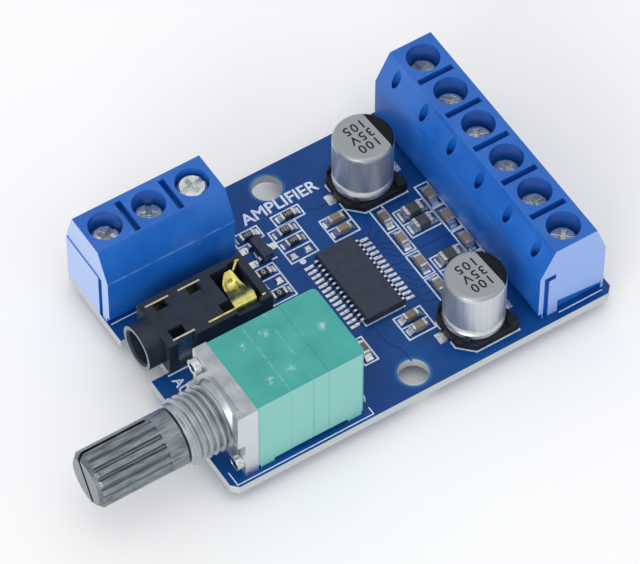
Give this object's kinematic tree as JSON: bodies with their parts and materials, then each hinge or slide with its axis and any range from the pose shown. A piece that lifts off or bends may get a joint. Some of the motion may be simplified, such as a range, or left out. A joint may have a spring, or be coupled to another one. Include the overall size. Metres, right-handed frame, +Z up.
{
  "type": "audio amplifier board",
  "caption": "Small stereo audio amplifier circuit board with blue screw terminals, headphone socket and a rotary volume control with a splined shaft.",
  "frame": {"origin": "midway between the two mounting holes, on the board's underside", "axes": "+Z up out of the component side, +X along the board to the speaker terminal, +Y towards the power terminal; the volume shaft points along -X"},
  "size_m": [0.0578, 0.0318, 0.0128],
  "materials": {
    "solder_mask": "blue solder mask over glass laminate",
    "solder": "bright tin solder",
    "terminal_plastic": "glossy blue moulding",
    "tinned_clamp": "tinned strip, satin",
    "zinc_screw": "zinc plated steel",
    "socket_plastic": "black moulding, slight sheen",
    "contact_brass": "bright spring brass",
    "tinned_strip": "tinned strip, satin",
    "cast_zinc": "die-cast zinc alloy, satin",
    "shaft_metal": "turned and knurled, satin",
    "teal_moulding": "teal phenolic moulding, slight sheen",
    "rivet_metal": "bright nickel plate",
    "black_plastic": "black moulding",
    "can_aluminium": "drawn can, satin",
    "chip_epoxy": "dark moulding compound",
    "resistor_film": "black glaze",
    "capacitor_ceramic": "sintered, matt",
    "ferrite": "sintered, matt grey",
    "tin_ends": "matt tin plate"
  },
  "bodies": {
    "board": {"circuit_board": "solder_mask", "through_solder": "solder", "chip_solder": "solder", "speaker_terminal_housing": "terminal_plastic", "power_terminal_housing": "terminal_plastic", "speaker_terminal_clamps": "tinned_clamp", "power_terminal_clamps": "tinned_clamp", "jack_body": "socket_plastic", "jack_tip_spring": "contact_brass", "jack_tip_switch": "contact_brass", "jack_sleeve_contact": "contact_brass", "jack_ring_contact": "tinned_strip", "jack_ring_switch": "tinned_strip", "pot_front_casting": "cast_zinc", "pot_front_case": "teal_moulding", "pot_front_wafer": "teal_moulding", "pot_rear_wafer": "teal_moulding", "pot_rear_case": "teal_moulding", "pot_rivets": "rivet_metal", "pot_terminals": "tinned_strip", "capacitor_1_can": "can_aluminium", "capacitor_1_base": "black_plastic", "capacitor_1_leads": "tinned_strip", "capacitor_2_can": "can_aluminium", "capacitor_2_base": "black_plastic", "capacitor_2_leads": "tinned_strip", "amplifier_chip": "chip_epoxy", "amplifier_leads": "tinned_strip", "chip_resistors": "resistor_film", "chip_capacitors": "capacitor_ceramic", "ferrite_beads": "ferrite", "chip_terminations": "tin_ends", "transistor_body": "chip_epoxy", "transistor_leads": "tinned_strip"},
    "volume_shaft": {"pot_shaft": "shaft_metal", "pot_front_rotor": "black_plastic", "pot_rear_rotor": "black_plastic", "pot_wipers": "contact_brass"},
    "speaker_plate_1": {"speaker_plate_1": "tinned_clamp"},
    "speaker_screw_1": {"speaker_screw_1": "zinc_screw"},
    "speaker_plate_2": {"speaker_plate_2": "tinned_clamp"},
    "speaker_screw_2": {"speaker_screw_2": "zinc_screw"},
    "speaker_plate_3": {"speaker_plate_3": "tinned_clamp"},
    "speaker_screw_3": {"speaker_screw_3": "zinc_screw"},
    "speaker_plate_4": {"speaker_plate_4": "tinned_clamp"},
    "speaker_screw_4": {"speaker_screw_4": "zinc_screw"},
    "speaker_plate_5": {"speaker_plate_5": "tinned_clamp"},
    "speaker_screw_5": {"speaker_screw_5": "zinc_screw"},
    "speaker_plate_6": {"speaker_plate_6": "tinned_clamp"},
    "speaker_screw_6": {"speaker_screw_6": "zinc_screw"},
    "power_plate_1": {"power_plate_1": "tinned_clamp"},
    "power_screw_1": {"power_screw_1": "zinc_screw"},
    "power_plate_2": {"power_plate_2": "tinned_clamp"},
    "power_screw_2": {"power_screw_2": "zinc_screw"},
    "power_plate_3": {"power_plate_3": "tinned_clamp"},
    "power_screw_3": {"power_screw_3": "zinc_screw"}
  },
  "joints": [
    {"name": "volume_turn", "type": "hinge", "parent": "board", "child": "volume_shaft", "pos_m": [-0.02045, -0.01035, 0.0062], "axis": [-1, 0, 0], "range_deg": [-150, 150]},
    {"name": "speaker_plate_1_slide", "type": "slide", "parent": "board", "child": "speaker_plate_1", "axis": [0, 0, 1], "range_m": [-0.0009, 0.0018]},
    {"name": "speaker_screw_1_turn", "type": "hinge", "parent": "speaker_plate_1", "child": "speaker_screw_1", "pos_m": [0.018, 0.0125, 0.008], "axis": [0, 0, 1], "range_deg": [-740, 1460]},
    {"name": "speaker_plate_2_slide", "type": "slide", "parent": "board", "child": "speaker_plate_2", "axis": [0, 0, 1], "range_m": [-0.0009, 0.0018]},
    {"name": "speaker_screw_2_turn", "type": "hinge", "parent": "speaker_plate_2", "child": "speaker_screw_2", "pos_m": [0.018, 0.0075, 0.008], "axis": [0, 0, 1], "range_deg": [-740, 1460]},
    {"name": "speaker_plate_3_slide", "type": "slide", "parent": "board", "child": "speaker_plate_3", "axis": [0, 0, 1], "range_m": [-0.0009, 0.0018]},
    {"name": "speaker_screw_3_turn", "type": "hinge", "parent": "speaker_plate_3", "child": "speaker_screw_3", "pos_m": [0.018, 0.0025, 0.008], "axis": [0, 0, 1], "range_deg": [-740, 1460]},
    {"name": "speaker_plate_4_slide", "type": "slide", "parent": "board", "child": "speaker_plate_4", "axis": [0, 0, 1], "range_m": [-0.0009, 0.0018]},
    {"name": "speaker_screw_4_turn", "type": "hinge", "parent": "speaker_plate_4", "child": "speaker_screw_4", "pos_m": [0.018, -0.0025, 0.008], "axis": [0, 0, 1], "range_deg": [-740, 1460]},
    {"name": "speaker_plate_5_slide", "type": "slide", "parent": "board", "child": "speaker_plate_5", "axis": [0, 0, 1], "range_m": [-0.0009, 0.0018]},
    {"name": "speaker_screw_5_turn", "type": "hinge", "parent": "speaker_plate_5", "child": "speaker_screw_5", "pos_m": [0.018, -0.0075, 0.008], "axis": [0, 0, 1], "range_deg": [-740, 1460]},
    {"name": "speaker_plate_6_slide", "type": "slide", "parent": "board", "child": "speaker_plate_6", "axis": [0, 0, 1], "range_m": [-0.0009, 0.0018]},
    {"name": "speaker_screw_6_turn", "type": "hinge", "parent": "speaker_plate_6", "child": "speaker_screw_6", "pos_m": [0.018, -0.0125, 0.008], "axis": [0, 0, 1], "range_deg": [-740, 1460]},
    {"name": "power_plate_1_slide", "type": "slide", "parent": "board", "child": "power_plate_1", "axis": [0, 0, 1], "range_m": [-0.0012, 0.0015]},
    {"name": "power_screw_1_turn", "type": "hinge", "parent": "power_plate_1", "child": "power_screw_1", "pos_m": [-0.01985, 0.0116, 0.008], "axis": [0, 0, 1], "range_deg": [-980, 1220]},
    {"name": "power_plate_2_slide", "type": "slide", "parent": "board", "child": "power_plate_2", "axis": [0, 0, 1], "range_m": [-0.0012, 0.0015]},
    {"name": "power_screw_2_turn", "type": "hinge", "parent": "power_plate_2", "child": "power_screw_2", "pos_m": [-0.01485, 0.0116, 0.008], "axis": [0, 0, 1], "range_deg": [-980, 1220]},
    {"name": "power_plate_3_slide", "type": "slide", "parent": "board", "child": "power_plate_3", "axis": [0, 0, 1], "range_m": [-0.0024, 0.0003]},
    {"name": "power_screw_3_turn", "type": "hinge", "parent": "power_plate_3", "child": "power_screw_3", "pos_m": [-0.00985, 0.0116, 0.008], "axis": [0, 0, 1], "range_deg": [-1940, 260]}
  ],
  "couplings": [
    {"joint": "speaker_screw_1_turn", "follows": "speaker_plate_1_slide", "rad_per_m": 13963},
    {"joint": "speaker_screw_2_turn", "follows": "speaker_plate_2_slide", "rad_per_m": 13963},
    {"joint": "speaker_screw_3_turn", "follows": "speaker_plate_3_slide", "rad_per_m": 13963},
    {"joint": "speaker_screw_4_turn", "follows": "speaker_plate_4_slide", "rad_per_m": 13963},
    {"joint": "speaker_screw_5_turn", "follows": "speaker_plate_5_slide", "rad_per_m": 13963},
    {"joint": "speaker_screw_6_turn", "follows": "speaker_plate_6_slide", "rad_per_m": 13963},
    {"joint": "power_screw_1_turn", "follows": "power_plate_1_slide", "rad_per_m": 13963},
    {"joint": "power_screw_2_turn", "follows": "power_plate_2_slide", "rad_per_m": 13963},
    {"joint": "power_screw_3_turn", "follows": "power_plate_3_slide", "rad_per_m": 13963}
  ]
}
